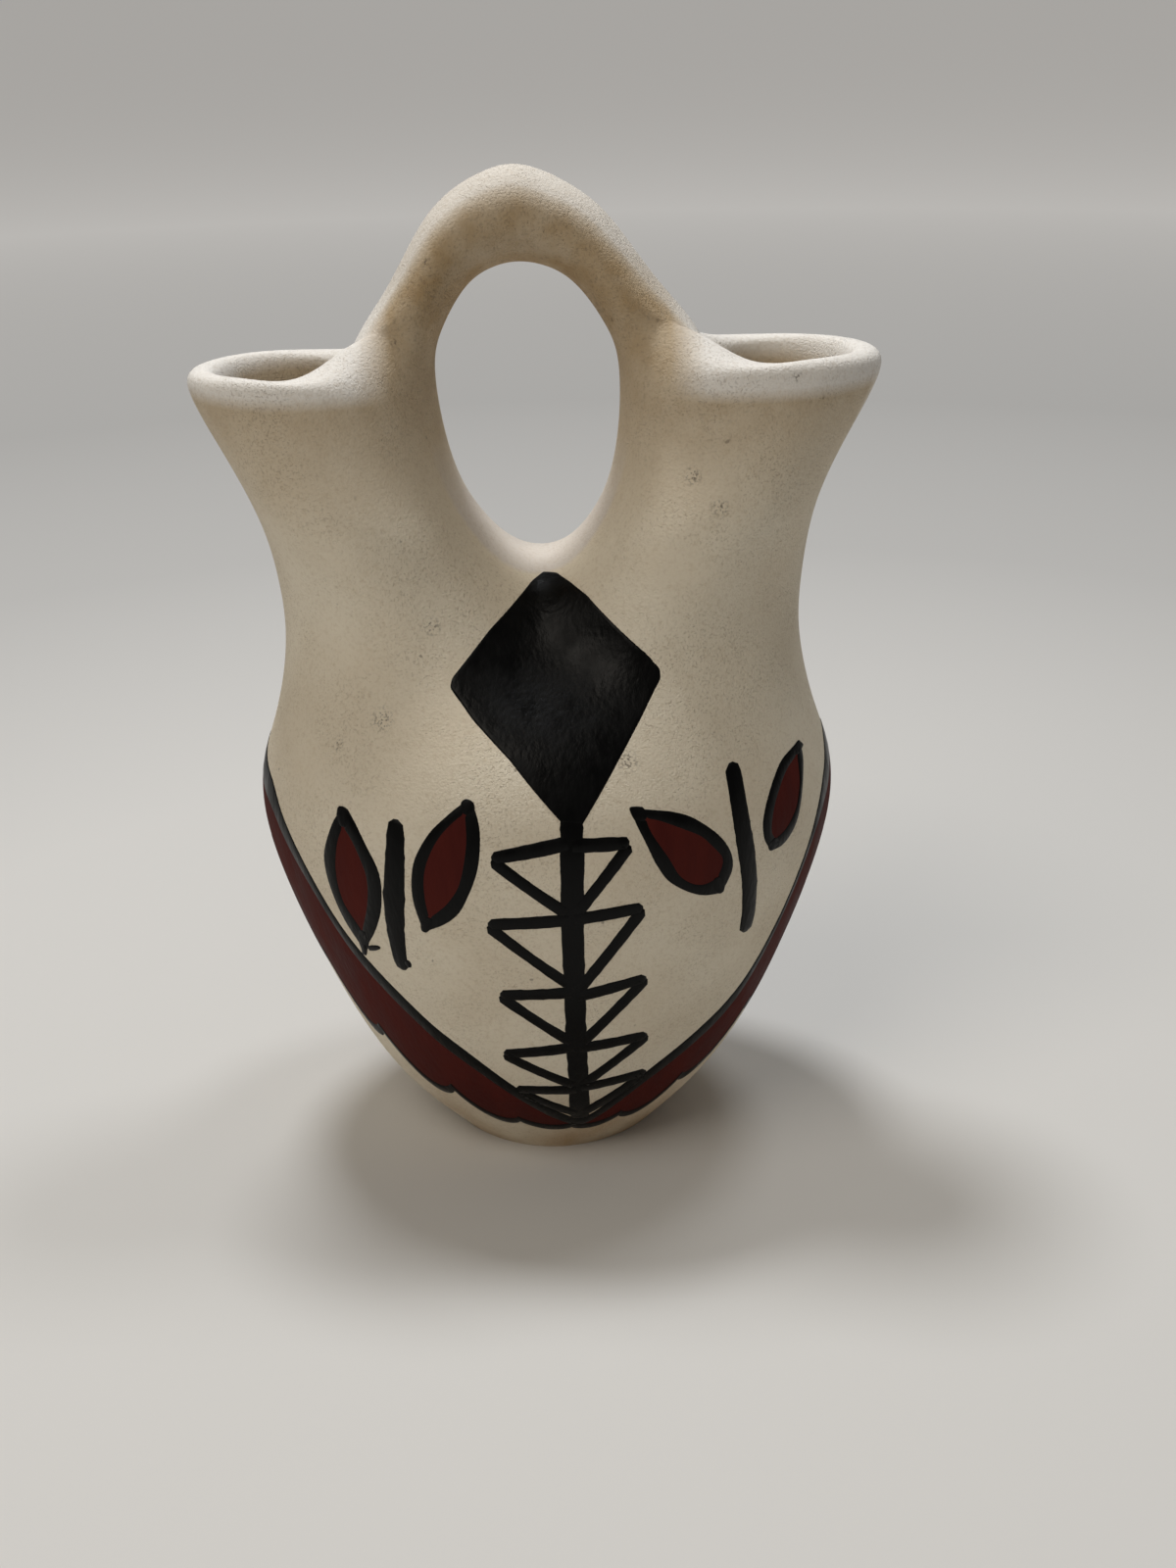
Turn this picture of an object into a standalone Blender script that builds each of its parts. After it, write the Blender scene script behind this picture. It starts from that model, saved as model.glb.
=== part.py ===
"""Wedding vase: a round clay body whose neck parts into two flaring spouts, joined by an arched handle.

The vessel is shaped whole, as the potter scrapes and smooths it whole, and is then parted at the
joins where its clay pieces were luted together. Metres, +Z up, spouts along X, front towards -Y.
"""

import math

import bmesh
import bpy
from mathutils import Matrix, Vector

# Body
FOOT_RADIUS = 0.0192
BELLY_HEIGHT = 0.0595
BELLY_HALF_WIDTH = 0.0486
BELLY_HALF_DEPTH = 0.0405
BELLY_FULLNESS = 1.34
SHOULDER_ABOVE_BELLY = 0.0155
SHOULDER_HALF_WIDTH = 0.0463
SHOULDER_HALF_DEPTH = 0.0380
WAIST_ABOVE_SHOULDER = 0.0135
WAIST_HALF_WIDTH = 0.0431
WAIST_HALF_DEPTH = 0.0318
WAIST_PINCH = 0.0008

# Saddle where the neck parts in two
SADDLE_ABOVE_WAIST = 0.0142
SADDLE_HALF_DEPTH = 0.0080
SADDLE_CROWN_DROP = 0.0010
SADDLE_THICKNESS = 0.0080
FORK_BELOW_SADDLE = 0.0055
FORK_HALF_DEPTH = 0.0264
FORK_PINCH = 0.0090
FORK_DIP = 0.0030

# Spouts
RIM_ABOVE_SADDLE = 0.0323
RIM_REACH = 0.0550
RIM_HALF_DEPTH = 0.0215
RIM_FLARE = 1.75
NECK_HALF_DEPTHS = (0.0234, 0.0213)
LIP_DROP = 0.0022
LIP_ROOT_RISE = 0.0045

# Opening between the spouts, and the handle over it
GAP_HALF_WIDTH = 0.0147
GAP_WIDEST_ABOVE_SADDLE = 0.0273
GAP_FULLNESS = 2.4
HANDLE_ABOVE_RIM = 0.0297
HANDLE_ROOT_THICKNESS = 0.0113
HANDLE_ROOT_HALF_DEPTH = 0.0165
HANDLE_CROWN_THICKNESS = 0.0145
HANDLE_CROWN_HALF_DEPTH = 0.0078
HANDLE_FULLNESS = 1.72
HANDLE_TAPER = 1.5
HANDLE_LEAN = -0.0024

# Clay thickness of the wall, of its lower part and of the floor
WALL = 0.0040
LOW_WALL = 0.0055
FLOOR = 0.0060

# Joins between the luted pieces
BASE_JOIN_HEIGHT = 0.0240
SHOULDER_JOIN_ABOVE_BELLY = 0.0120
SPOUT_JOIN_ABOVE_SADDLE = 0.0020
HANDLE_JOIN_ABOVE_RIM = 0.0060
JOIN_GAP = 0.0003

# Heights that follow from the sizes above
SHOULDER_HEIGHT = BELLY_HEIGHT + SHOULDER_ABOVE_BELLY
WAIST_HEIGHT = SHOULDER_HEIGHT + WAIST_ABOVE_SHOULDER
SADDLE_HEIGHT = WAIST_HEIGHT + SADDLE_ABOVE_WAIST
FORK_HEIGHT = SADDLE_HEIGHT - FORK_BELOW_SADDLE + FORK_DIP
RIM_HEIGHT = SADDLE_HEIGHT + RIM_ABOVE_SADDLE
LIP_EDGE_HEIGHT = RIM_HEIGHT - LIP_DROP
TOP_HEIGHT = RIM_HEIGHT + HANDLE_ABOVE_RIM
GAP_WIDEST_HEIGHT = SADDLE_HEIGHT + GAP_WIDEST_ABOVE_SADDLE
SHOULDER_JOIN_HEIGHT = BELLY_HEIGHT + SHOULDER_JOIN_ABOVE_BELLY
SPOUT_JOIN_HEIGHT = SADDLE_HEIGHT + SPOUT_JOIN_ABOVE_SADDLE
HANDLE_JOIN_HEIGHT = RIM_HEIGHT + HANDLE_JOIN_ABOVE_RIM

# Coarse cage: points on half an oval of the body and across the saddle, and where its rows lie
ARC_POINTS = 7
SADDLE_POINTS = 3
LOW_RISE = 0.2
MIDDLE_RISE = 0.55
SPOUT_INNER_RISES = (0.20, 0.54)
SPOUT_OUTER_RISES = (0.32, 0.68)
HANDLE_TURNS = (30, 55, 75, 90)
SUBDIVISION = 2
FIT_PASSES = 8

CLAY = (0.70, 0.62, 0.48, 1.0)
CLAY_ROUGHNESS = 0.75


def belly_reach(height, widest):
    """Reach of the lower body: a superellipse from the foot out to the widest part of the belly."""
    rise = 1 - height / BELLY_HEIGHT
    swell = (1 - rise**BELLY_FULLNESS) ** (1 / BELLY_FULLNESS)
    return FOOT_RADIUS + (widest - FOOT_RADIUS) * swell


def flank_reach(height):
    """How far the outer flank stands from the middle, between the waist and the rim."""
    share = (height - WAIST_HEIGHT) / (RIM_HEIGHT - WAIST_HEIGHT)
    sweep = math.sin(math.pi / 2 * share**RIM_FLARE) ** 2
    return WAIST_HALF_WIDTH + (RIM_REACH - WAIST_HALF_WIDTH) * sweep


def gap_reach(height):
    """Half the width of the opening between the spouts, from the saddle to where it is widest."""
    drop = (GAP_WIDEST_HEIGHT - height) / GAP_WIDEST_ABOVE_SADDLE
    return GAP_HALF_WIDTH * (1 - drop**GAP_FULLNESS) ** (1 / GAP_FULLNESS)


def body_arc(height, half_width, half_depth, dip=0.0, pinch=0.0):
    """Half an oval of the body, from the front middle round the +X flank to the back middle.
    The middles lie lower than the flank by dip and are pinched in towards each other."""
    points = []
    for i in range(ARC_POINTS):
        turn = math.pi * (i / (ARC_POINTS - 1) - 0.5)
        sine = math.sin(turn)
        points.append(Vector((half_width * math.cos(turn), half_depth * sine, height - dip * sine**2)))
    points[0].y += pinch
    points[-1].y -= pinch
    return points


def low_arc(height, inset):
    """An arc of the lower body, set in from the outer surface."""
    half_width = belly_reach(height, BELLY_HALF_WIDTH) - inset
    half_depth = belly_reach(height, BELLY_HALF_DEPTH) - inset
    return body_arc(height, half_width, half_depth)


def body_rows(inset, low_inset):
    """Arcs of one skin of the body from low on the wall up to the fork of the neck."""
    return [
        low_arc(BELLY_HEIGHT * LOW_RISE, low_inset),
        low_arc(BELLY_HEIGHT * MIDDLE_RISE, (inset + low_inset) / 2),
        low_arc(BELLY_HEIGHT, inset),
        body_arc(SHOULDER_HEIGHT, SHOULDER_HALF_WIDTH - inset, SHOULDER_HALF_DEPTH - inset),
        body_arc(
            WAIST_HEIGHT - inset,
            WAIST_HALF_WIDTH - inset,
            WAIST_HALF_DEPTH - inset,
            FORK_DIP,
            WAIST_PINCH,
        ),
        body_arc(
            FORK_HEIGHT - inset,
            flank_reach(FORK_HEIGHT) - inset,
            FORK_HALF_DEPTH - inset,
            FORK_DIP,
            FORK_PINCH,
        ),
    ]


def saddle_row(height):
    """Points over the saddle from back to front."""
    edge = height - SADDLE_CROWN_DROP
    return [
        Vector((0, SADDLE_HALF_DEPTH, edge)),
        Vector((0, 0, height)),
        Vector((0, -SADDLE_HALF_DEPTH, edge)),
    ]


def spout_oval(inner, outer, inner_height, outer_height, half_depth):
    """One oval of the +X spout: the points of the arc first, then those facing the other spout."""
    count = ARC_POINTS + SADDLE_POINTS
    points = []
    for i in range(count):
        turn = 2 * math.pi * (i - (ARC_POINTS - 1) / 2) / count
        along = (1 + math.cos(turn)) / 2
        x = inner + (outer - inner) * along
        z = inner_height + (outer_height - inner_height) * along
        points.append(Vector((x, half_depth * math.sin(turn), z)))
    return points


def spout_rows(inset):
    """Ovals of one skin of the +X spout, from just above the fork up to below the lip."""
    rows = []
    for inner_rise, outer_rise, half_depth in zip(SPOUT_INNER_RISES, SPOUT_OUTER_RISES, NECK_HALF_DEPTHS):
        inner_height = SADDLE_HEIGHT + RIM_ABOVE_SADDLE * inner_rise
        outer_height = SADDLE_HEIGHT + RIM_ABOVE_SADDLE * outer_rise
        inner = gap_reach(inner_height) + inset
        outer = flank_reach(outer_height) - inset
        rows.append(spout_oval(inner, outer, inner_height, outer_height, half_depth - inset))
    return rows


def handle_ring(turn):
    """Eight points round the handle, starting at the back of its underside. The turn runs from 0 at
    the widest part of the opening to a right angle at the crown."""
    power = 2 / HANDLE_FULLNESS
    cosine = max(0.0, math.cos(turn))
    sine = math.sin(turn)
    under_rise = (TOP_HEIGHT - HANDLE_CROWN_THICKNESS - GAP_WIDEST_HEIGHT) * sine
    over_rise = (TOP_HEIGHT - GAP_WIDEST_HEIGHT) * sine**power
    over_reach = (GAP_HALF_WIDTH + HANDLE_ROOT_THICKNESS) * cosine**power
    under = Vector((GAP_HALF_WIDTH * cosine, 0, GAP_WIDEST_HEIGHT + under_rise))
    over = Vector((over_reach, 0, GAP_WIDEST_HEIGHT + over_rise))
    spread = HANDLE_ROOT_HALF_DEPTH - HANDLE_CROWN_HALF_DEPTH
    half_depth = HANDLE_CROWN_HALF_DEPTH + spread * (1 - sine) ** HANDLE_TAPER
    middle = (under + over) / 2
    points = []
    for eighth in range(8):
        angle = math.radians(45 - 45 * eighth)
        side = Vector((0, half_depth * math.sin(angle), 0))
        points.append(middle + (under - middle) * math.cos(angle) + side)
    return points


def lay(bm, points):
    return [bm.verts.new(point) for point in points]


def loft(bm, rows, closed=False):
    """Lays a row of quads between each row of points and the next."""
    for first, second in zip(rows, rows[1:]):
        count = len(first) if closed else len(first) - 1
        for i in range(count):
            j = (i + 1) % len(first)
            bm.faces.new((first[i], first[j], second[j], second[i]))


def cage_mesh():
    """Coarse cage of the whole vessel, outer and inner skin. Its +X half is lofted from the foot up
    the outside, over the lip and down the inside to the floor, and is then mirrored."""
    bm = bmesh.new()
    under_foot = FOOT_RADIUS - FLOOR
    outside = [
        lay(bm, body_arc(-FLOOR, under_foot, under_foot)),
        lay(bm, body_arc(0, FOOT_RADIUS, FOOT_RADIUS)),
    ]
    outside += [lay(bm, row) for row in body_rows(0, 0)]
    loft(bm, outside)
    bm.faces.new(outside[0])
    inside = [lay(bm, body_arc(FLOOR, FOOT_RADIUS - LOW_WALL, FOOT_RADIUS - LOW_WALL))]
    inside += [lay(bm, row) for row in body_rows(WALL, LOW_WALL)]
    loft(bm, inside)
    bm.faces.new(inside[0])

    spout_outside = [outside[-1] + lay(bm, saddle_row(SADDLE_HEIGHT))]
    spout_outside += [lay(bm, row) for row in spout_rows(0)]
    lip = spout_oval(GAP_HALF_WIDTH, RIM_REACH, LIP_EDGE_HEIGHT, LIP_EDGE_HEIGHT, RIM_HALF_DEPTH)
    spout_outside.append(lay(bm, lip))
    loft(bm, spout_outside, closed=True)
    spout_inside = [inside[-1] + lay(bm, saddle_row(SADDLE_HEIGHT - SADDLE_THICKNESS))]
    spout_inside += [lay(bm, row) for row in spout_rows(WALL)]
    mouth_inner = GAP_HALF_WIDTH + HANDLE_ROOT_THICKNESS
    lip = spout_oval(
        mouth_inner, RIM_REACH - WALL, LIP_EDGE_HEIGHT, LIP_EDGE_HEIGHT, RIM_HALF_DEPTH - WALL
    )
    spout_inside.append(lay(bm, lip))
    loft(bm, spout_inside, closed=True)

    # The lip runs round the mouth from one side of the handle's root to the other, and climbs there.
    lip_order = [ARC_POINTS + SADDLE_POINTS - 1] + list(range(ARC_POINTS + 1))
    lip_outer = [spout_outside[-1][i] for i in lip_order]
    lip_inner = [spout_inside[-1][i] for i in lip_order]
    crest = lay(bm, [(a.co + b.co) / 2 for a, b in zip(lip_outer, lip_inner)])
    for vert in crest:
        vert.co.z = RIM_HEIGHT
    crest[0].co.z += LIP_ROOT_RISE
    crest[-1].co.z += LIP_ROOT_RISE
    loft(bm, [lip_outer, crest, lip_inner])

    # The handle grows out of the open inner end of the lip.
    outer_end = spout_outside[-1][ARC_POINTS:]
    inner_end = spout_inside[-1][ARC_POINTS:]
    root = outer_end + [crest[0]] + inner_end[::-1] + [crest[-1]]
    handle = [root] + [lay(bm, handle_ring(math.radians(turn))) for turn in HANDLE_TURNS]
    loft(bm, handle, closed=True)

    everything = bm.verts[:] + bm.edges[:] + bm.faces[:]
    bmesh.ops.mirror(bm, geom=everything, matrix=Matrix.Identity(4), merge_dist=JOIN_GAP / 10, axis="X")
    for vert in bm.verts:
        rise = max(0.0, (vert.co.z - SADDLE_HEIGHT) / (TOP_HEIGHT - SADDLE_HEIGHT))
        vert.co.x += HANDLE_LEAN * rise * (1 - (vert.co.x / RIM_REACH) ** 2)
    bmesh.ops.recalc_face_normals(bm, faces=bm.faces[:])
    mesh = bpy.data.meshes.new("vessel_cage")
    bm.to_mesh(mesh)
    bm.free()
    return mesh


def smooth_vessel():
    """Subdivides the cage, first moving its points so that the smooth skin passes where they were set."""
    cage = bpy.data.objects.new("vessel_cage", cage_mesh())
    bpy.context.scene.collection.objects.link(cage)
    subdivide = cage.modifiers.new("smooth", "SUBSURF")
    subdivide.levels = 1
    subdivide.render_levels = 1
    wanted = [vert.co.copy() for vert in cage.data.vertices]
    for _ in range(FIT_PASSES):
        smooth = cage.evaluated_get(bpy.context.evaluated_depsgraph_get()).data
        found = [smooth.vertices[i].co.copy() for i in range(len(wanted))]
        for vert, want, have in zip(cage.data.vertices, wanted, found):
            vert.co += want - have
        cage.data.update()
        cage.update_tag()
        bpy.context.view_layer.update()
    subdivide.levels = SUBDIVISION
    subdivide.render_levels = SUBDIVISION
    graph = bpy.context.evaluated_depsgraph_get()
    mesh = bpy.data.meshes.new_from_object(cage.evaluated_get(graph))
    bpy.data.objects.remove(cage, do_unlink=True)
    return mesh


def cut_level(bm, height, keep_above):
    """Cuts the clay level at a height, drops one side and closes the cut face."""
    up = Vector((0, 0, 1))
    cut = bmesh.ops.bisect_plane(
        bm,
        geom=bm.verts[:] + bm.edges[:] + bm.faces[:],
        plane_co=up * height,
        plane_no=up,
        clear_inner=keep_above,
        clear_outer=not keep_above,
    )
    edges = [item for item in cut["geom_cut"] if isinstance(item, bmesh.types.BMEdge)]
    bmesh.ops.triangle_fill(bm, edges=edges, use_beauty=True, normal=up)


def clay_piece(name, vessel, bottom, top, collection, side=0):
    """One clay piece between two levels; side picks the left (-1) or right (+1) one of a pair."""
    bm = bmesh.new()
    bm.from_mesh(vessel)
    cut_level(bm, bottom, keep_above=True)
    cut_level(bm, top, keep_above=False)
    if side:
        other = [vert for vert in bm.verts if vert.co.x * side < 0]
        bmesh.ops.delete(bm, geom=other, context="VERTS")
    bmesh.ops.recalc_face_normals(bm, faces=bm.faces[:])
    mesh = bpy.data.meshes.new(name)
    bm.to_mesh(mesh)
    bm.free()
    material = bpy.data.materials.new(name + "_clay")
    material.use_nodes = True
    shader = material.node_tree.nodes["Principled BSDF"]
    shader.inputs["Base Color"].default_value = CLAY
    shader.inputs["Roughness"].default_value = CLAY_ROUGHNESS
    shader.inputs["Metallic"].default_value = 0.0
    mesh.materials.append(material)
    collection.objects.link(bpy.data.objects.new(name, mesh))


for old in list(bpy.data.objects):
    bpy.data.objects.remove(old, do_unlink=True)

vase = bpy.data.collections.new("wedding_vase")
bpy.context.scene.collection.children.link(vase)
whole = smooth_vessel()
half_gap = JOIN_GAP / 2
above_top = TOP_HEIGHT + JOIN_GAP
clay_piece("base_dish", whole, 0, BASE_JOIN_HEIGHT - half_gap, vase)
clay_piece("belly_wall", whole, BASE_JOIN_HEIGHT + half_gap, SHOULDER_JOIN_HEIGHT - half_gap, vase)
clay_piece("shoulder", whole, SHOULDER_JOIN_HEIGHT + half_gap, SPOUT_JOIN_HEIGHT - half_gap, vase)
clay_piece("left_spout", whole, SPOUT_JOIN_HEIGHT + half_gap, HANDLE_JOIN_HEIGHT - half_gap, vase, -1)
clay_piece("right_spout", whole, SPOUT_JOIN_HEIGHT + half_gap, HANDLE_JOIN_HEIGHT - half_gap, vase, 1)
clay_piece("handle", whole, HANDLE_JOIN_HEIGHT + half_gap, above_top, vase)
bpy.data.meshes.remove(whole)
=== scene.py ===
import math

import bmesh
import bpy
from mathutils import Matrix, Vector, noise
from mathutils.bvhtree import BVHTree


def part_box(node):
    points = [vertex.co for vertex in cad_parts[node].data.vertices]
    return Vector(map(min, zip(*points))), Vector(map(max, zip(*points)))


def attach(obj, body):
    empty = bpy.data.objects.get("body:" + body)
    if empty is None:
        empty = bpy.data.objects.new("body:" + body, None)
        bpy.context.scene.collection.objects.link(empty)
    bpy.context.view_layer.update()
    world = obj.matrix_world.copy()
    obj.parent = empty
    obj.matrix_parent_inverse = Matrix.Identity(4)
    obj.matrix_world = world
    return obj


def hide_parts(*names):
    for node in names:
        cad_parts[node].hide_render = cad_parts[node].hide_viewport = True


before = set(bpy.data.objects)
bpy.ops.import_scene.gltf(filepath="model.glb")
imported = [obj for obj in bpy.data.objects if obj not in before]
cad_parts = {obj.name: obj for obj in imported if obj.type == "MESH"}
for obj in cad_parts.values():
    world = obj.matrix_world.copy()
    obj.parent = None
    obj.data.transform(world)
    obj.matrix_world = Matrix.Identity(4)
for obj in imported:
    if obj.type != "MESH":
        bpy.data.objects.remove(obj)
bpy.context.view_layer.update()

# The clay vessel
# A round coiled body whose neck parts into two flaring spouts under one arched handle, all of one fired
# clay, scraped and smoothed as a whole by hand. Metres, spouts along X, front towards -Y, foot at z = 0.
FOOT_RADIUS = 0.0192
BELLY_HEIGHT = 0.0595
BELLY_HALF_WIDTH = 0.0486
BELLY_HALF_DEPTH = 0.0405
BELLY_FULLNESS = 1.34
SHOULDER_HEIGHT = 0.0750
SHOULDER_HALF_WIDTH = 0.0463
SHOULDER_HALF_DEPTH = 0.0380
WAIST_HEIGHT = 0.0885
WAIST_HALF_WIDTH = 0.0431
WAIST_HALF_DEPTH = 0.0318
WAIST_PINCH = 0.0008
FORK_HEIGHT = 0.1002
FORK_HALF_DEPTH = 0.0268
FORK_PINCH = 0.0090
FORK_DIP = 0.0042
SADDLE_HEIGHT = 0.1027
SADDLE_HALF_DEPTH = 0.0080
SADDLE_CROWN_DROP = 0.0005
SADDLE_THICKNESS = 0.0080
RIM_HEIGHT = 0.1350
RIM_REACH = 0.0550
RIM_HALF_DEPTH = 0.0190
RIM_FLARE = 1.75
LIP_EDGE_HEIGHT = 0.1328
LIP_ROOT_RISE = 0.0050
LIP_WALL = 0.0052
LIP_TILT = 0.0010
RIGHT_LIP_RISE = 0.0011
MOUTH_SETBACK = 0.0020
NECK_HALF_DEPTHS = (0.0224, 0.0200)
GAP_HALF_WIDTH = 0.0147
GAP_WIDEST_HEIGHT = 0.1300
GAP_FULLNESS = 1.85
HANDLE_TOP = 0.1647
HANDLE_ROOT_THICKNESS = 0.0113
HANDLE_ROOT_HALF_DEPTH = 0.0128
HANDLE_CROWN_THICKNESS = 0.0145
HANDLE_CROWN_HALF_DEPTH = 0.0078
HANDLE_FULLNESS = 1.72
HANDLE_TAPER = 1.5
HANDLE_LEAN = -0.0024
WALL = 0.0040
LOW_WALL = 0.0055
FLOOR_THICKNESS = 0.0060
ARC_POINTS = 7
SADDLE_POINTS = 3
ROW_RISES = (0.2, 0.55, 1.0)
SPOUT_RISES = ((0.20, 0.32), (0.54, 0.68))
HANDLE_TURNS = (30, 55, 75, 90)
HALVES_MEET = 0.00003
FIT_PASSES = 8
SMOOTHNESS = 4
HAND_WOBBLE = 0.00022
HAND_WOBBLE_SIZE = 0.022
FLAT_FOOT_HEIGHT = 0.001
EVEN_CROWN_DEPTH = 0.002


def clamp(share):
    """A share kept between nothing and all."""
    return min(1.0, max(0.0, share))


def body_arc(height, half_width, half_depth, dip=0.0, pinch=0.0):
    """Half an oval of the body, from the front middle round the +X flank to the back middle."""
    points = []
    for i in range(ARC_POINTS):
        turn = math.pi * (i / (ARC_POINTS - 1) - 0.5)
        drop = dip * math.sin(turn) ** 2
        points.append(Vector((half_width * math.cos(turn), half_depth * math.sin(turn), height - drop)))
    points[0].y += pinch
    points[-1].y -= pinch
    return points


def belly_arc(share, inset):
    """An arc of the lower body at a share of the belly's height, set in from the outer surface."""
    rise = (1 - share) ** BELLY_FULLNESS
    swell = (1 - rise) ** (1 / BELLY_FULLNESS)
    half_width = FOOT_RADIUS + (BELLY_HALF_WIDTH - FOOT_RADIUS) * swell - inset
    half_depth = FOOT_RADIUS + (BELLY_HALF_DEPTH - FOOT_RADIUS) * swell - inset
    return body_arc(BELLY_HEIGHT * share, half_width, half_depth)


def flank_reach(height):
    """How far the outer flank stands from the middle between the waist and the rim."""
    share = (height - WAIST_HEIGHT) / (RIM_HEIGHT - WAIST_HEIGHT)
    sweep = math.sin(math.pi / 2 * share**RIM_FLARE) ** 2
    return WAIST_HALF_WIDTH + (RIM_REACH - WAIST_HALF_WIDTH) * sweep


def body_wall(inset, low_inset):
    """Arcs of one skin of the body from low on the wall up to the fork of the neck."""
    insets = (low_inset, (inset + low_inset) / 2, inset)
    rows = [belly_arc(share, depth) for share, depth in zip(ROW_RISES, insets)]
    rows.append(body_arc(SHOULDER_HEIGHT, SHOULDER_HALF_WIDTH - inset, SHOULDER_HALF_DEPTH - inset))
    waist = (WAIST_HALF_WIDTH - inset, WAIST_HALF_DEPTH - inset)
    rows.append(body_arc(WAIST_HEIGHT - inset, *waist, FORK_DIP, WAIST_PINCH))
    fork = (flank_reach(FORK_HEIGHT) - inset, FORK_HALF_DEPTH - inset)
    rows.append(body_arc(FORK_HEIGHT - inset, *fork, FORK_DIP, FORK_PINCH))
    return rows


def saddle_points(height):
    """Points over the saddle between the spouts, from back to front."""
    edge = height - SADDLE_CROWN_DROP
    places = ((SADDLE_HALF_DEPTH, edge), (0, height), (-SADDLE_HALF_DEPTH, edge))
    return [Vector((0, depth, level)) for depth, level in places]


def spout_oval(inner, outer, inner_height, outer_height, half_depth):
    """One oval of the +X spout: the points of the body's arc first, then those facing the gap."""
    count = ARC_POINTS + SADDLE_POINTS
    points = []
    for i in range(count):
        turn = 2 * math.pi * (i - (ARC_POINTS - 1) / 2) / count
        along = (1 + math.cos(turn)) / 2
        height = inner_height + (outer_height - inner_height) * along
        points.append(Vector((inner + (outer - inner) * along, half_depth * math.sin(turn), height)))
    return points


def spout_wall(inset):
    """Ovals of one skin of the +X spout between the fork and the lip."""
    rows = []
    for (inner_rise, outer_rise), half_depth in zip(SPOUT_RISES, NECK_HALF_DEPTHS):
        inner_height = SADDLE_HEIGHT + (RIM_HEIGHT - SADDLE_HEIGHT) * inner_rise
        outer_height = SADDLE_HEIGHT + (RIM_HEIGHT - SADDLE_HEIGHT) * outer_rise
        drop = (GAP_WIDEST_HEIGHT - inner_height) / (GAP_WIDEST_HEIGHT - SADDLE_HEIGHT)
        inner = GAP_HALF_WIDTH * (1 - drop**GAP_FULLNESS) ** (1 / GAP_FULLNESS) + inset
        outer = flank_reach(outer_height) - inset
        rows.append(spout_oval(inner, outer, inner_height, outer_height, half_depth - inset))
    return rows


def handle_ring(turn):
    """Eight points round the handle, from its root (turn 0) to its crown (a right angle)."""
    power = 2 / HANDLE_FULLNESS
    cosine = max(0.0, math.cos(turn))
    sine = math.sin(turn)
    under_rise = (HANDLE_TOP - HANDLE_CROWN_THICKNESS - GAP_WIDEST_HEIGHT) * sine
    over_rise = (HANDLE_TOP - GAP_WIDEST_HEIGHT) * sine**power
    over_reach = (GAP_HALF_WIDTH + HANDLE_ROOT_THICKNESS) * cosine**power
    under = Vector((GAP_HALF_WIDTH * cosine, 0, GAP_WIDEST_HEIGHT + under_rise))
    over = Vector((over_reach, 0, GAP_WIDEST_HEIGHT + over_rise))
    spread = HANDLE_ROOT_HALF_DEPTH - HANDLE_CROWN_HALF_DEPTH
    half_depth = HANDLE_CROWN_HALF_DEPTH + spread * (1 - sine) ** HANDLE_TAPER
    middle = (under + over) / 2
    points = []
    for eighth in range(8):
        angle = math.radians(45 - 45 * eighth)
        side = Vector((0, half_depth * math.sin(angle), 0))
        points.append(middle + (under - middle) * math.cos(angle) + side)
    return points


def string(bm, row, closed=False):
    """Joins a row of points by edges where they have none yet, and gives those edges."""
    pairs = zip(row, row[1:] + row[:1] if closed else row[1:])
    return [bm.edges.get(pair) or bm.edges.new(pair) for pair in pairs]


def pull(bm, row, points, closed=False):
    """Extrudes a row of the wall and moves the new row to its points."""
    made = bmesh.ops.extrude_edge_only(bm, edges=string(bm, row, closed))["geom"]
    fresh = [item for item in made if isinstance(item, bmesh.types.BMVert)]
    pulled = [min(fresh, key=lambda vert: (vert.co - old.co).length) for old in row]
    for vert, point in zip(pulled, points):
        vert.co = point
    return pulled


# The +X half is pulled up from the foot to the lip, over it and down the inside to the floor.
shell = bmesh.new()
under_foot = FOOT_RADIUS - FLOOR_THICKNESS
row = [shell.verts.new(point) for point in body_arc(-FLOOR_THICKNESS, under_foot, under_foot)]
shell.faces.new(row)
for points in [body_arc(0, FOOT_RADIUS, FOOT_RADIUS)] + body_wall(0, 0):
    row = pull(shell, row, points)
row += [shell.verts.new(point) for point in saddle_points(SADDLE_HEIGHT)]
lip_points = spout_oval(GAP_HALF_WIDTH, RIM_REACH, LIP_EDGE_HEIGHT, LIP_EDGE_HEIGHT, RIM_HALF_DEPTH)
for points in spout_wall(0) + [lip_points]:
    row = pull(shell, row, points, closed=True)
outer_lip = row
mouth_inner = GAP_HALF_WIDTH + HANDLE_ROOT_THICKNESS + MOUTH_SETBACK
mouth_outer = RIM_REACH - LIP_WALL
mouth_half_depth = RIM_HALF_DEPTH - LIP_WALL
mouth_points = spout_oval(mouth_inner, mouth_outer, LIP_EDGE_HEIGHT, LIP_EDGE_HEIGHT, mouth_half_depth)
lip_order = [ARC_POINTS + SADDLE_POINTS - 1] + list(range(ARC_POINTS + 1))
crest_points = [(lip_points[i] + mouth_points[i]) / 2 for i in lip_order]
for point in crest_points:
    point.z = RIM_HEIGHT
crest_points[0].z += LIP_ROOT_RISE
crest_points[-1].z += LIP_ROOT_RISE / 2
crest = pull(shell, [outer_lip[i] for i in lip_order], crest_points)
row = pull(shell, crest, [mouth_points[i] for i in lip_order])
inner_lip = row[1:] + [shell.verts.new(mouth_points[ARC_POINTS + 1]), row[0]]
row = inner_lip
inner_wall = body_wall(WALL, LOW_WALL)
inner_fork = inner_wall[-1] + saddle_points(SADDLE_HEIGHT - SADDLE_THICKNESS)
for points in spout_wall(WALL)[::-1] + [inner_fork]:
    row = pull(shell, row, points, closed=True)
row = row[:ARC_POINTS]
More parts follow.
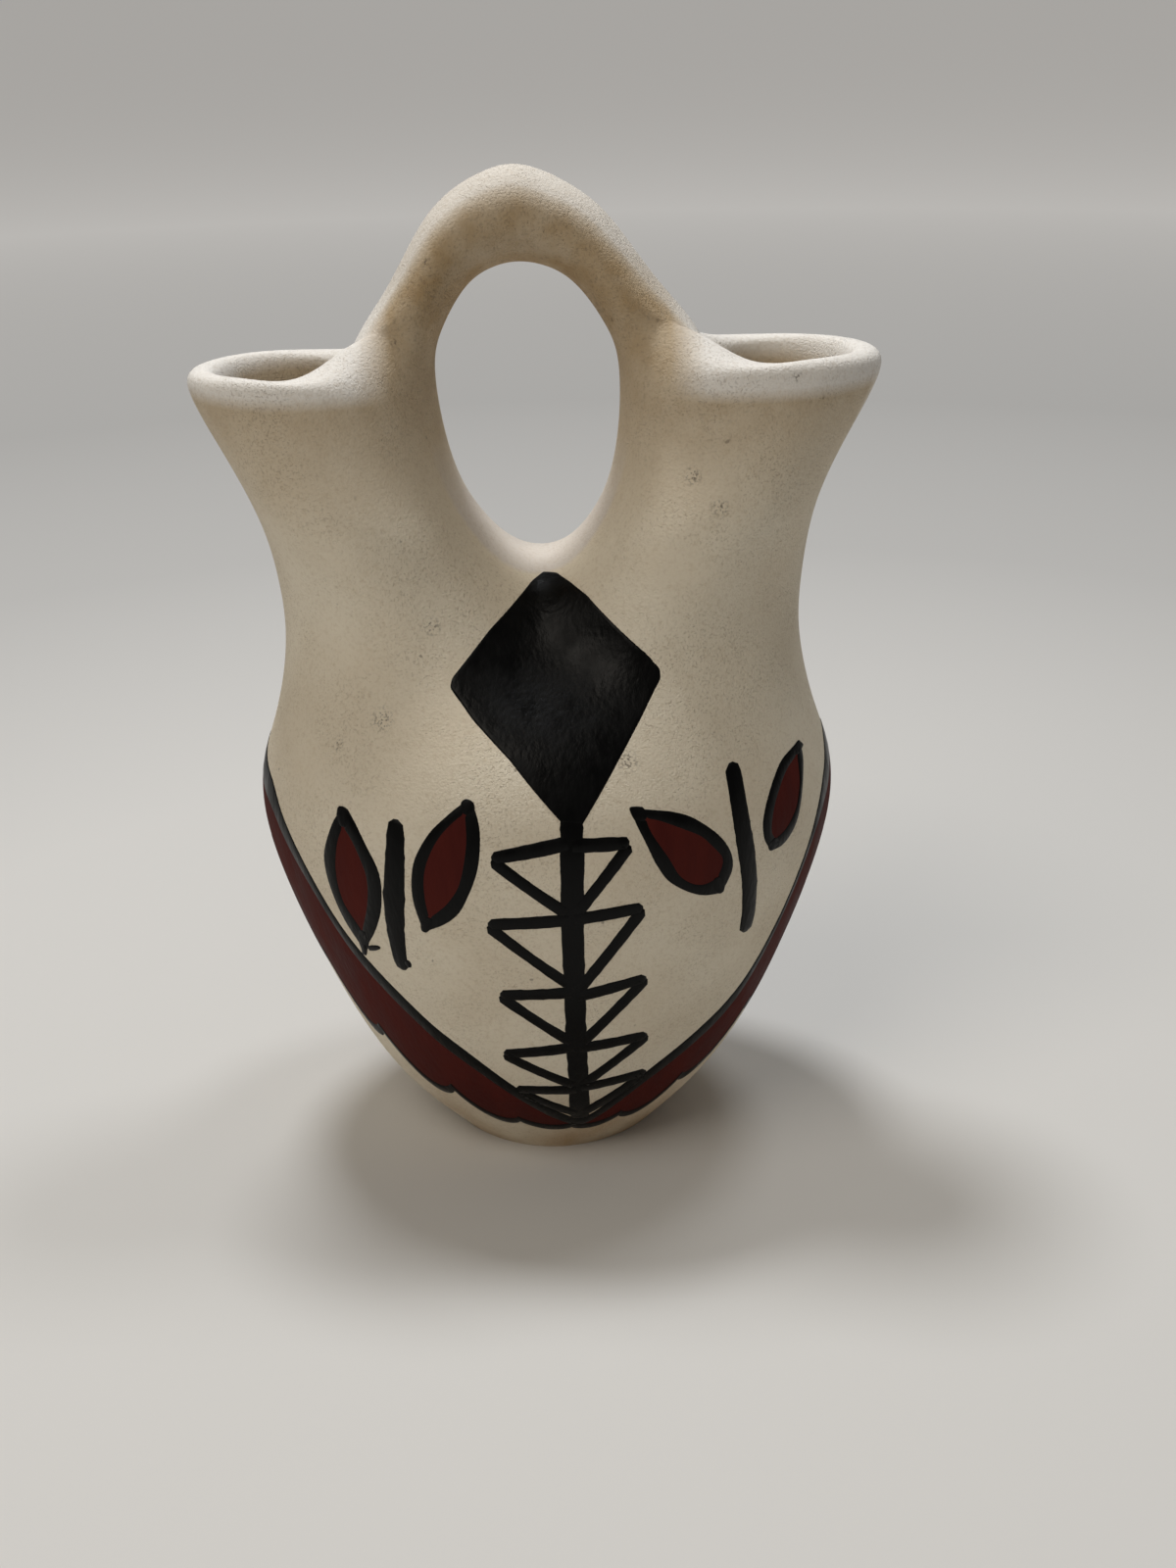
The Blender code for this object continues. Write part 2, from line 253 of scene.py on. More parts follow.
inner_foot = body_arc(FLOOR_THICKNESS, FOOT_RADIUS - LOW_WALL, FOOT_RADIUS - LOW_WALL)
for points in inner_wall[-2::-1] + [inner_foot]:
    row = pull(shell, row, points)
shell.faces.new(row)

# The handle is pulled from between the two lips up to its crown, and the other half is its mirror.
ring = outer_lip[ARC_POINTS:] + [crest[0]] + inner_lip[ARC_POINTS:][::-1] + [crest[-1]]
for turn in HANDLE_TURNS:
    ring = pull(shell, ring, handle_ring(math.radians(turn)), closed=True)
both = shell.verts[:] + shell.edges[:] + shell.faces[:]
bmesh.ops.mirror(shell, geom=both, matrix=Matrix.Identity(4), merge_dist=HALVES_MEET, axis="X")

# The handle leans a little to the left, the lips tip up in front, and the right one stands higher.
for vert in shell.verts:
    rise = max(0.0, (vert.co.z - SADDLE_HEIGHT) / (HANDLE_TOP - SADDLE_HEIGHT))
    vert.co.x += HANDLE_LEAN * rise * (1 - (vert.co.x / RIM_REACH) ** 2)
    near_lip = max(0.0, 1 - abs(vert.co.z - RIM_HEIGHT) / (RIM_HEIGHT - SADDLE_HEIGHT))
    lift = RIGHT_LIP_RISE * clamp(vert.co.x / mouth_inner) - LIP_TILT * vert.co.y / RIM_HALF_DEPTH
    vert.co.z += lift * near_lip
bmesh.ops.recalc_face_normals(shell, faces=shell.faces[:])

# The coarse wall is smoothed so that its skin passes through the points it was pulled to.
raw_mesh = bpy.data.meshes.new("raw_vessel")
shell.to_mesh(raw_mesh)
shell.free()
raw_vessel = bpy.data.objects.new("raw_vessel", raw_mesh)
bpy.context.scene.collection.objects.link(raw_vessel)
smoothing = raw_vessel.modifiers.new("smoothing", "SUBSURF")
smoothing.levels = smoothing.render_levels = 1
wanted = [vert.co.copy() for vert in raw_mesh.vertices]
for fit in range(FIT_PASSES):
    smooth = raw_vessel.evaluated_get(bpy.context.evaluated_depsgraph_get()).data
    shortfall = [want - smooth.vertices[i].co for i, want in enumerate(wanted)]
    for vert, move in zip(raw_mesh.vertices, shortfall):
        vert.co += move
    raw_mesh.update()
    raw_vessel.update_tag()
    bpy.context.view_layer.update()
smoothing.levels = smoothing.render_levels = SMOOTHNESS
smooth_vessel = raw_vessel.evaluated_get(bpy.context.evaluated_depsgraph_get())
vessel_mesh = bpy.data.meshes.new_from_object(smooth_vessel)
bpy.data.objects.remove(raw_vessel, do_unlink=True)
bpy.data.meshes.remove(raw_mesh)

# Scraping by hand leaves the wall very slightly uneven, but not the foot's face or the handle's top.
wall = vessel_mesh.vertices
moves = [noise.noise(vert.co / HAND_WOBBLE_SIZE) * HAND_WOBBLE * vert.normal for vert in wall]
for vert, move in zip(wall, moves):
    if FLAT_FOOT_HEIGHT < vert.co.z < HANDLE_TOP - EVEN_CROWN_DEPTH:
        vert.co += move

# The skin is parted into triangles once, so that clay and paint lie on the same facets.
skin = bmesh.new()
skin.from_mesh(vessel_mesh)
bmesh.ops.triangulate(skin, faces=skin.faces[:])
skin.to_mesh(vessel_mesh)
skin.free()

# Pale slip over buff clay
# The whole vessel is brushed with a pale slip, burnished and fired: matt, finely grained and pitted. The
# handle and upper spouts are thin brown slip, darkened there as painted shade; the handle's ridge and the
# lips are painted pale as painted highlight; the saddle is painted darker as the handle's shadow; and the
# slip is browner in patches towards the foot.
SLIP_LIGHT = (0.80, 0.72, 0.575, 1)
SLIP_DARK = (0.735, 0.645, 0.50, 1)
LIT_TOP_SLIP = (0.88, 0.84, 0.78, 1)
THIN_SLIP_AND_SHADE = (0.41, 0.285, 0.15, 1)
SADDLE_SHADE_SLIP = (0.70, 0.64, 0.57, 1)
FOOT_BROWN = (0.46, 0.29, 0.14, 1)
SOOT = (0.10, 0.08, 0.06, 1)
PIT_SHADE = (0.30, 0.23, 0.15, 1)
SLIP_ROUGHNESS = 0.82
SLIP_SHINE = 0.35
# Zones run from the first measure, where they begin, to the second, where they are full.
UPPER_HEIGHTS = (0.112, 0.144)
RIDGE_DEPTHS = (0.0080, 0.0056)
RIDGE_HIGHLIGHT = 0.8
ARCH_REACHES = (0.021, 0.027)
SADDLE_DEPTHS = (0.0090, 0.0076)
SADDLE_REACHES = (0.020, 0.016)
SADDLE_HEIGHTS = (0.124, 0.112)
LIP_REACHES = (0.0215, 0.0270)
LIP_HEIGHTS = (0.1312, 0.1334)
LIP_HIGHLIGHT = 0.95
FOOT_HEIGHTS = (0.020, 0.002)
FOOT_BROWNING = 0.8
# Spots are given by how many stand in a metre, how finely they break up and the two levels they are cut at.
MOTTLE = (55, 4, 0.35, 0.65)
WORN_SPOTS = (260, 6, 0.36, 0.70)
LEAST_WORN = 0.75
GRIME_SPOTS = (1800, 2, 0.56, 0.70)
GRIME_STRENGTH = 0.30
FOOT_BROWN_SPOTS = (45, 5, 0.38, 0.62)
THIN_SPOTS = (1500, 2, 0.50, 0.80)
THIN_STRENGTH = 0.25
PIT_SPOTS = (2900, 1, 0.58, 0.70)
PITTED_PATCHES = (90, 2, 0.36, 0.62)
PIT_STRENGTH = 0.22
SOOT_SPOTS = (520, 1, 0.79, 0.83)
SOOT_STRENGTH = 0.5
SMEAR_SPOTS = (2300, 2, 0.50, 0.62)
SMEAR_STRENGTH = 0.75
SMEAR_CORE = 0.2
GRAIN_SIZE = 2400.0
GRAIN_DETAIL = 3.0
GRAIN_STRENGTH = 0.55
GRAIN_DEPTH = 0.0003
# Smudges on the front: millimetres across and above the foot, and their reach.
SMUDGES = (
    (-24.3, 84.5, 2.6), (-16.3, 98.0, 1.8), (24.6, 120.4, 1.9), (28.6, 116.0, 1.8), (13.9, 79.4, 2.4),
    (-31.9, 79.6, 1.5), (-15.7, 151.5, 0.9), (-21.0, 139.7, 0.9), (40.4, 135.0, 1.0),
)
MM = 0.001
CLEAR_OF_CLAY = 0.1
clay = BVHTree.FromPolygons(
    [vert.co for vert in vessel_mesh.vertices], [face.vertices[:] for face in vessel_mesh.polygons]
)


def front_place(flat):
    """Clay straight behind a place drawn on the front in millimetres, and its outward direction."""
    return clay.ray_cast(Vector((flat.x * MM, -CLEAR_OF_CLAY, flat.y * MM)), Vector((0, 1, 0)))[:2]


def add(tree, kind, inputs, **settings):
    """Adds a node to a finish; an input that is another node's output is linked."""
    node = tree.nodes.new(kind)
    for name, value in settings.items():
        setattr(node, name, value)
    for name, value in inputs.items():
        if isinstance(value, bpy.types.NodeSocket):
            tree.links.new(value, node.inputs[name])
        else:
            node.inputs[name].default_value = value
    return node


def zone(tree, measure, begin, full, most=1.0, least=0.0):
    """A mask that goes from least where a measure begins to most where it is full."""
    span = {"Value": measure, "From Min": begin, "From Max": full, "To Min": least, "To Max": most}
    return add(tree, "ShaderNodeMapRange", span).outputs["Result"]


def speckle(tree, where, scale, detail, low, high):
    """A mask of soft spots: noise of a size, cut between two levels."""
    spots = add(tree, "ShaderNodeTexNoise", {"Vector": where, "Scale": scale, "Detail": detail})
    return zone(tree, spots.outputs["Fac"], low, high)


def times(tree, first, *others):
    """Masks multiplied together."""
    product = first
    for other in others:
        product = add(tree, "ShaderNodeMath", {0: product, 1: other}, operation="MULTIPLY").outputs[0]
    return product


def without_sign(tree, measure):
    """A measure to either side of the middle."""
    return add(tree, "ShaderNodeMath", {0: measure}, operation="ABSOLUTE").outputs[0]


def less(tree, first, second):
    """One mask taken off another."""
    return add(tree, "ShaderNodeMath", {0: first, 1: second}, operation="SUBTRACT").outputs[0]


def apart(tree, first, second):
    """How far two places are apart."""
    return add(tree, "ShaderNodeVectorMath", {0: first, 1: second}, operation="DISTANCE").outputs["Value"]


def tint(tree, mask, under, over):
    """Lays one colour over another through a mask."""
    blend = add(tree, "ShaderNodeMix", {"Factor": mask, 6: under, 7: over}, data_type="RGBA")
    return blend.outputs[2]


slip = bpy.data.materials.new("pale_slip")
slip.use_nodes = True
tree = slip.node_tree
slip_shader = tree.nodes["Principled BSDF"]
where = add(tree, "ShaderNodeTexCoord", {}).outputs["Object"]
axes = add(tree, "ShaderNodeSeparateXYZ", {"Vector": where}).outputs
across = without_sign(tree, axes["X"])
depth = without_sign(tree, axes["Y"])
height = axes["Z"]
colour = tint(tree, speckle(tree, where, *MOTTLE), SLIP_DARK, SLIP_LIGHT)
upper = zone(tree, height, *UPPER_HEIGHTS)
# Painted highlight: the ridge of the handle's outer arch is painted pale, as a top lit from above.
arch = add(tree, "ShaderNodeCombineXYZ", {"X": axes["X"], "Z": height}).outputs["Vector"]
outside = zone(tree, apart(tree, arch, (0, 0, GAP_WIDEST_HEIGHT)), *ARCH_REACHES)
lit_ridge = times(tree, zone(tree, depth, *RIDGE_DEPTHS, most=RIDGE_HIGHLIGHT), outside)
colour = tint(tree, times(tree, upper, lit_ridge), colour, LIT_TOP_SLIP)
# Thin brown slip and painted shade: below the lit ridge the handle and upper spouts are tinted brown in
# mottled patches.
thin = times(tree, upper, less(tree, 1.0, lit_ridge))
worn = zone(tree, speckle(tree, where, *WORN_SPOTS), 0.0, 1.0, least=LEAST_WORN)
colour = tint(tree, times(tree, thin, worn), colour, THIN_SLIP_AND_SHADE)
colour = tint(tree, times(tree, thin, speckle(tree, where, *GRIME_SPOTS), GRIME_STRENGTH), colour, SOOT)
# Painted shade: the saddle under the handle is painted darker, as the handle's shadow.
saddle = times(
    tree, zone(tree, depth, *SADDLE_DEPTHS), zone(tree, across, *SADDLE_REACHES),
    zone(tree, height, *SADDLE_HEIGHTS),
)
colour = tint(tree, saddle, colour, SADDLE_SHADE_SLIP)
# Painted highlight: the crests of the lips are painted pale, as tops lit from above.
lip = times(tree, zone(tree, height, *LIP_HEIGHTS, most=LIP_HIGHLIGHT), zone(tree, across, *LIP_REACHES))
colour = tint(tree, lip, colour, LIT_TOP_SLIP)
# Browner in patches towards the foot.
foot_browning = times(tree, zone(tree, height, *FOOT_HEIGHTS, most=FOOT_BROWNING), speckle(tree, where, *FOOT_BROWN_SPOTS))
colour = tint(tree, foot_browning, colour, FOOT_BROWN)
colour = tint(tree, times(tree, speckle(tree, where, *THIN_SPOTS), THIN_STRENGTH), colour, THIN_SLIP_AND_SHADE)
pits = times(tree, speckle(tree, where, *PIT_SPOTS), speckle(tree, where, *PITTED_PATCHES))
colour = tint(tree, times(tree, pits, PIT_STRENGTH), colour, PIT_SHADE)
colour = tint(tree, times(tree, speckle(tree, where, *SOOT_SPOTS), SOOT_STRENGTH), colour, SOOT)
smears = speckle(tree, where, *SMEAR_SPOTS)
for smudge_across, smudge_above, reach in SMUDGES:
    spot = front_place(Vector((smudge_across, smudge_above)))[0]
    near = zone(tree, apart(tree, where, spot), reach * MM, SMEAR_CORE * reach * MM)
    colour = tint(tree, times(tree, near, smears, SMEAR_STRENGTH), colour, SOOT)
tree.links.new(colour, slip_shader.inputs["Base Color"])
slip_shader.inputs["Roughness"].default_value = SLIP_ROUGHNESS
slip_shader.inputs["Specular IOR Level"].default_value = SLIP_SHINE
grain_noise = {"Vector": where, "Scale": GRAIN_SIZE, "Detail": GRAIN_DETAIL}
grain = add(tree, "ShaderNodeTexNoise", grain_noise).outputs["Fac"]
relief = {"Height": less(tree, grain, pits), "Strength": GRAIN_STRENGTH, "Distance": GRAIN_DEPTH}
slip_bump = add(tree, "ShaderNodeBump", relief)
tree.links.new(slip_bump.outputs["Normal"], slip_shader.inputs["Normal"])

# Clay pieces of the vessel
# Base dish, belly wall, shoulder, two spouts and the handle, luted together with wet clay while
# leather hard. Each is cut level from the vessel half way between the solids of its neighbours.
CUT_REACH = 0.00001
ABOVE_ALL = HANDLE_TOP + 0.01


def join_height(below, above):
    """Height of the luted joint between two solids."""
    return (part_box(below)[1][2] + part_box(above)[0][2]) / 2


def part_level(bm, height, keep_above):
    """Parts the clay level at a height, drops one side and closes the face of the join."""
    up = Vector((0, 0, 1))
    cut = bmesh.ops.bisect_plane(
        bm, geom=bm.verts[:] + bm.edges[:] + bm.faces[:], dist=CUT_REACH, plane_co=up * height, plane_no=up,
        clear_inner=keep_above, clear_outer=not keep_above,
    )
    edges = [item for item in cut["geom_cut"] if isinstance(item, bmesh.types.BMEdge)]
    filled = bmesh.ops.triangle_fill(bm, edges=edges, use_beauty=True, normal=up)["geom"]
    for item in filled:
        if isinstance(item, bmesh.types.BMFace):
            item.smooth = False
    for edge in edges:
        edge.smooth = False


base_join = join_height("base_dish", "belly_wall")
shoulder_join = join_height("belly_wall", "shoulder")
spout_join = join_height("shoulder", "left_spout")
handle_join = join_height("left_spout", "handle")
clay_pieces = (
    ("base_dish", 0.0, base_join, 0),
    ("belly_wall", base_join, shoulder_join, 0),
    ("shoulder", shoulder_join, spout_join, 0),
    ("left_spout", spout_join, handle_join, -1),
    ("right_spout", spout_join, handle_join, 1),
    ("handle", handle_join, ABOVE_ALL, 0),
)
for name, bottom, top, side in clay_pieces:
    bm = bmesh.new()
    bm.from_mesh(vessel_mesh)
    for face in bm.faces:
        face.smooth = True
    part_level(bm, bottom, keep_above=True)
    part_level(bm, top, keep_above=False)
    if side:
        other = [vert for vert in bm.verts if vert.co.x * side < 0]
        bmesh.ops.delete(bm, geom=other, context="VERTS")
    bmesh.ops.recalc_face_normals(bm, faces=bm.faces[:])
    mesh = bpy.data.meshes.new(name + "_clay")
    bm.to_mesh(mesh)
    bm.free()
    mesh.materials.append(slip)
    piece = bpy.data.objects.new(name + "_clay", mesh)
    bpy.context.scene.collection.objects.link(piece)
    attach(piece, "root")
    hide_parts(name)

# Brushwork on the slip
# Every motif is painted in black or red mineral paint straight on the slip: a thin film that follows the
# clay, its rims dragged out thin. Places are drawn flat, in millimetres across and above the foot.
RIM_SUNK = -0.00004
RIM_SHARE = 0.999
LINE_ROWS = 4
LINE_CROWDING = 0.35
FILL_CROWDING = 0.75
FILM_DEPTH = 0.0003
ENDS_MEET = 0.000001
BLACK_LIFT = 0.00009
RED_LIFT = 0.00005
BACK_SHORTENING = 0.035
BACK_FOOT = 10
STROKE_STEPS = 14
TIP_BLUNTNESS = 2.4
HAND_WAVER = 0.10
WAVER_DRIFT = 3.1
WAVER_LENGTHS = (4, 3)
LOOK_AHEAD = 0.02
STROKE_EASING = 0.03
EASING_STEPS = (-2, -1, -1, 0, 0, 0, 1, 1, 2)
BLACK_THIN = (0.003, 0.003, 0.003, 1)
BLACK_THICK = (0.001, 0.001, 0.001, 1)
RED_THIN = (0.085, 0.013, 0.009, 1)
RED_THICK = (0.060, 0.007, 0.005, 1)
STREAK_TURN = 0.7
STREAK_STRETCH = 0.25
STREAK_DETAIL = 4
STREAK_LEVELS = (0.35, 0.70)
STREAK_ROUGHNESS = 0.2
BRISTLE_SIZE = 1200.0
BRISTLE_DETAIL = 3.0
BRISTLE_STRENGTH = 0.55
BRISTLE_DEPTH = 0.0002


def back_place(flat):
    """Clay at a place drawn as seen from behind, where the motif is a little shorter, and its direction."""
    height = flat.y - BACK_SHORTENING * (flat.y - BACK_FOOT)
    return clay.ray_cast(Vector((-flat.x * MM, CLEAR_OF_CLAY, height * MM)), Vector((0, -1, 0)))[:2]


def girth_place(flat):
    """Clay at a turn in degrees from the front and a height, and its outward direction."""
    out = Vector((math.sin(math.radians(flat.x)), -math.cos(math.radians(flat.x)), 0))
    return clay.ray_cast(out * CLEAR_OF_CLAY + Vector((0, 0, flat.y * MM)), -out)[:2]


def drawn(points, easing=STROKE_EASING):
    """An edge drawn through points: gives the place at any share of its length, with eased bends."""
    spots = [Vector(point) for point in points]
    runs = [(b - a).length for a, b in zip(spots, spots[1:])]

    def straight(share):
        left = share * sum(runs)
        for a, b, run in zip(spots, spots[1:], runs):
            if left <= run:
                return a.lerp(b, left / run)
            left -= run
        return spots[-1]

    def eased(share):
        reach = min(easing, share, 1 - share) / 2
        around = [straight(share + reach * step) for step in EASING_STEPS]
        return sum(around, Vector((0, 0))) / len(around)

    return eased


def film(bm, first, second, steps, lift, place, rows=LINE_ROWS, closed=False):
    """A thin film of paint between two drawn edges, laid on the clay with sunken rims."""
    sheet = bmesh.ops.create_grid(bm, x_segments=steps, y_segments=rows, size=0.5)["verts"]
    crowding = LINE_CROWDING if rows == LINE_ROWS else FILL_CROWDING
    outward = {}
    for vert in sheet:
        along = clamp(vert.co.x + 0.5)
        side = 2 * vert.co.y
        rim = abs(side) > RIM_SHARE or (vert.is_boundary and not closed)
        over = 0.5 + math.copysign(min(1.0, abs(side)) ** crowding, side) / 2
        spot, outward[vert] = place(first(along).lerp(second(along), over))
        vert.co = spot + outward[vert] * (RIM_SUNK if rim else lift)
    faces = list(dict.fromkeys(face for vert in sheet for face in vert.link_faces))
    bmesh.ops.recalc_face_normals(bm, faces=faces)
    if sum(face.normal.dot(outward[face.verts[0]]) for face in faces) < 0:
        bmesh.ops.reverse_faces(bm, faces=faces)
    bmesh.ops.remove_doubles(bm, verts=sheet, dist=ENDS_MEET)


def stroke(bm, path, widths, place, steps=STROKE_STEPS):
    """One pull of the brush along a path, with a width at its start, middle and end and round tips."""
    line = drawn(path)
    length = sum((Vector(b) - Vector(a)).length for a, b in zip(path, path[1:]))
    blunt = TIP_BLUNTNESS * length / max(widths)
    start, middle, end = widths

    def half_width(share):
        if share < 0.5:
            width = start + (middle - start) * 2 * share
        else:
            width = middle + (end - middle) * (2 * share - 1)
        drift = path[0][0] + WAVER_DRIFT * share * length / WAVER_LENGTHS[0]
        waver = 1 + HAND_WAVER * noise.noise((drift, path[0][1], share * length / WAVER_LENGTHS[1]))
        return width / 2 * waver * max(0.0, 1 - abs(2 * share - 1) ** blunt) ** 0.5

    def rim(side):
        def place_on_rim(share):
            ahead = line(min(1, share + LOOK_AHEAD)) - line(max(0, share - LOOK_AHEAD))
            return line(share) + side * half_width(share) * Vector((-ahead.y, ahead.x)).normalized()
        return place_on_rim

    film(bm, rim(1), rim(-1), steps, BLACK_LIFT, place)


def paint_piece(name, bm, paint):
    """Closes the films of one motif into thin bodies and makes them a piece that rides on the vase."""
    bmesh.ops.solidify(bm, geom=bm.faces[:], thickness=FILM_DEPTH)
    for face in bm.faces:
        face.smooth = True
    mesh = bpy.data.meshes.new(name)
    bm.to_mesh(mesh)
    bm.free()
    mesh.materials.append(paint)
    piece = bpy.data.objects.new(name, mesh)
    bpy.context.scene.collection.objects.link(piece)
    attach(piece, "root")


def earth_paint(name, thin, thick, roughness, shine, streak):
    """A mineral paint: streaks of thin and thick colour along the brush, slightly rough."""
    paint = bpy.data.materials.new(name)
    paint.use_nodes = True
    tree = paint.node_tree
    shader = tree.nodes["Principled BSDF"]
    where = add(tree, "ShaderNodeTexCoord", {}).outputs["Object"]
    pull_of_brush = {"Vector": where, "Rotation": (0, STREAK_TURN, 0), "Scale": (1, 1, STREAK_STRETCH)}
    brushed = add(tree, "ShaderNodeMapping", pull_of_brush).outputs["Vector"]
    streaks = speckle(tree, brushed, streak, STREAK_DETAIL, *STREAK_LEVELS)
    tree.links.new(tint(tree, streaks, thick, thin), shader.inputs["Base Color"])
    rough = zone(tree, streaks, 0.0, 1.0, most=roughness + STREAK_ROUGHNESS, least=roughness)
    tree.links.new(rough, shader.inputs["Roughness"])
    shader.inputs["Specular IOR Level"].default_value = shine
    bristles = {"Vector": brushed, "Scale": BRISTLE_SIZE, "Detail": BRISTLE_DETAIL}
    grain = add(tree, "ShaderNodeTexNoise", bristles).outputs["Fac"]
    relief = {"Height": grain, "Strength": BRISTLE_STRENGTH, "Distance": BRISTLE_DEPTH}
    bump = add(tree, "ShaderNodeBump", relief)
    tree.links.new(bump.outputs["Normal"], shader.inputs["Normal"])
    return paint


black_paint = earth_paint("black_paint", BLACK_THIN, BLACK_THICK, roughness=0.30, shine=0.11, streak=300)
red_paint = earth_paint("red_paint", RED_THIN, RED_THICK, roughness=0.65, shine=0.10, streak=220)

# Red band
# A band of red earth paint swings round the body, low at front and back and high under the spouts,
# brushed on the slip between a plain upper line and a scalloped lower line in black.
BAND_TOP = (
    (-90, 73), (-70.5, 69), (-61.7, 62), (-56.7, 56.2), (-53.1, 50.5), (-49.3, 45.7), (-41.1, 38.4),
    (-32.6, 31.4), (-23, 26), (-12.7, 19.7), (-0.8, 13.3), (7.4, 10.2), (10, 9.4), (13.8, 10), (20.2, 13.2),
    (31.3, 20), (42.2, 25.2), (53, 30.6), (59.1, 35.4), (63.3, 43), (66.5, 50.7), (68.8, 59.2), (73.7, 66.4),
    (84, 72), (90, 73),
)
BAND_TOP_EASING = (-2, 0, 2)
# Notches of the lower line: turn from the front, height, and how far the next lobe hangs.
NOTCHES = (
    (-90, 62, 3.5), (-80, 55, 5), (-69, 36.8, 5.7), (-54.8, 25.8, 5.2), (-34.3, 16.2, 3.2), (-13, 9.4, 1.4),
    (8, 7.4, 1.6), (27, 9.2, 3.2), (47.5, 15, 4), (69, 25.5, 6.5), (81, 44, 4.5), (90, 62, 0),
)
LOBE_ROUNDNESS = 0.7
LINE_LEAST = 2.8
LINE_GAIN = 2.2
LINE_GAIN_FROM = 10
LINE_GAIN_OVER = 30
LOBE_LINE_SHARE = 0.36
RED_BELOW_TOP = 0.4
RED_STEPS = 640
RED_ROWS = 18
TOP_LINE_STEPS = 480
LOBE_LINE_STEPS = 720


def height_at(points, turn):
    """Height at a turn of a line drawn straight through points of turn and height."""
    for (a, low), (b, high) in zip(points, points[1:]):
        if turn <= b:
            break
    return low + (high - low) * clamp((turn - a) / (b - a))


def band_top(turn):
    """Height of the upper line at a turn from the front, its bends eased."""
    return sum(height_at(BAND_TOP, turn + step) for step in BAND_TOP_EASING) / len(BAND_TOP_EASING)


def band_foot(turn):
    """Height of the scalloped lower line: lobes that hang between sharp notches."""
    for (a, start, hang), (b, end, _) in zip(NOTCHES, NOTCHES[1:]):
        if turn <= b:
            break
    share = (turn - a) / (b - a)
    return start + (end - start) * share - hang * max(0.0, math.sin(math.pi * share)) ** LOBE_ROUNDNESS


def round_edge(height_of):
    """An edge that runs right round the body; the back repeats the front."""
    return lambda share: Vector((360 * share - 180, height_of((360 * share - 90) % 180 - 90)))


def line_width(height):
    """How much height a line takes up, more where the band climbs steeply."""
    return LINE_LEAST + LINE_GAIN * clamp((height - LINE_GAIN_FROM) / LINE_GAIN_OVER)


def lobe_edge(side):
    """The lower or the upper edge of the scalloped line."""
    return round_edge(lambda turn: band_foot(turn) + side * LOBE_LINE_SHARE * line_width(band_foot(turn)))


red_band = bmesh.new()
red_top = round_edge(lambda turn: band_top(turn) - RED_BELOW_TOP)
film(red_band, round_edge(band_foot), red_top, RED_STEPS, RED_LIFT, girth_place, RED_ROWS, closed=True)
band_lines = bmesh.new()
under_line = round_edge(lambda turn: band_top(turn) - line_width(band_top(turn)))
film(band_lines, under_line, round_edge(band_top), TOP_LINE_STEPS, BLACK_LIFT, girth_place, closed=True)
film(band_lines, lobe_edge(-1), lobe_edge(1), LOBE_LINE_STEPS, BLACK_LIFT, girth_place, closed=True)
paint_piece("red_band", red_band, red_paint)
paint_piece("band_lines", band_lines, black_paint)

# Black diamond
# A solid diamond of black paint on the slip below the saddle, front and back: outlined with the brush and
# then filled in, so that its sides are slightly uneven and its corners blunt.
DIAMOND_LEFT = (
    (1, 102.3), (-1.1, 101.5), (-7.4, 96.6), (-13.5, 90.5), (-13.8, 89.2), (-10.2, 85.2), (-4.2, 80.2),
    (3.7, 71.7),
)
DIAMOND_RIGHT = (
    (3, 102.5), (5.4, 102), (8.1, 100.9), (12.7, 97.2), (17.5, 93.5), (19.5, 91.3), (19.6, 90.1),
    (16.3, 84.8), (12.4, 79.3), (6.8, 71.2),
)
DIAMOND_EASING = 0.01
DIAMOND_STEPS = 110
DIAMOND_ROWS = 34
diamond = bmesh.new()
diamond_left = drawn(DIAMOND_LEFT, DIAMOND_EASING)
diamond_right = drawn(DIAMOND_RIGHT, DIAMOND_EASING)
for place in (front_place, back_place):
    film(diamond, diamond_left, diamond_right, DIAMOND_STEPS, BLACK_LIFT, place, DIAMOND_ROWS)
paint_piece("diamond", diamond, black_paint)

# Stem with triangles
# A straight stem hangs from the diamond to the band, with five open triangles on either side, in black
# paint; each is one pull of the brush out from the stem and one slanting back down to it.
STEM = ((5.2, 73.5), (5.2, 65.5), (4.9, 55), (4.9, 39.1), (4.8, 30.4), (4.9, 21), (4.8, 8.4))
STEM_WIDTHS = (4.1, 3.7, 3.6)
STEM_STEPS = 48
LEFT_ROOTS = ((5.4, 68.8), (5.4, 55.5), (5.2, 40.8), (5.2, 28.7), (5.2, 18))
LEFT_TIPS = ((-7.6, 66.2), (-8.7, 54.5), (-7.5, 40.2), (-7.6, 26.9), (-6, 18.2))
LEFT_RETURNS = ((4.9, 56), (4.9, 41.6), (4.9, 29), (4.9, 18.7), (4.9, 10.6))
RIGHT_ROOTS = ((4.6, 68.2), (4.4, 55.4), (4.4, 39.6), (4.4, 28.2), (4.4, 18.3))
RIGHT_TIPS = ((14.3, 67.9), (16.3, 56.5), (16.7, 42.2), (16.8, 29.2), (16.6, 19.9))
RIGHT_RETURNS = ((5, 55.8), (5, 40.4), (5, 28.6), (5, 18.8), (5, 10.8))
OUTWARD_WIDTHS = (2.6, 2.5, 2.3)
RETURN_WIDTHS = (2.3, 2.1, 2.3)
triangles = list(zip(LEFT_ROOTS, LEFT_TIPS, LEFT_RETURNS))
triangles += zip(RIGHT_ROOTS, RIGHT_TIPS, RIGHT_RETURNS)
stem = bmesh.new()
for place in (front_place, back_place):
    stroke(stem, STEM, STEM_WIDTHS, place, STEM_STEPS)
    for root, tip, back in triangles:
        stroke(stem, (root, tip), OUTWARD_WIDTHS, place)
        stroke(stem, (tip, back), RETURN_WIDTHS, place)
paint_piece("stem_and_triangles", stem, black_paint)

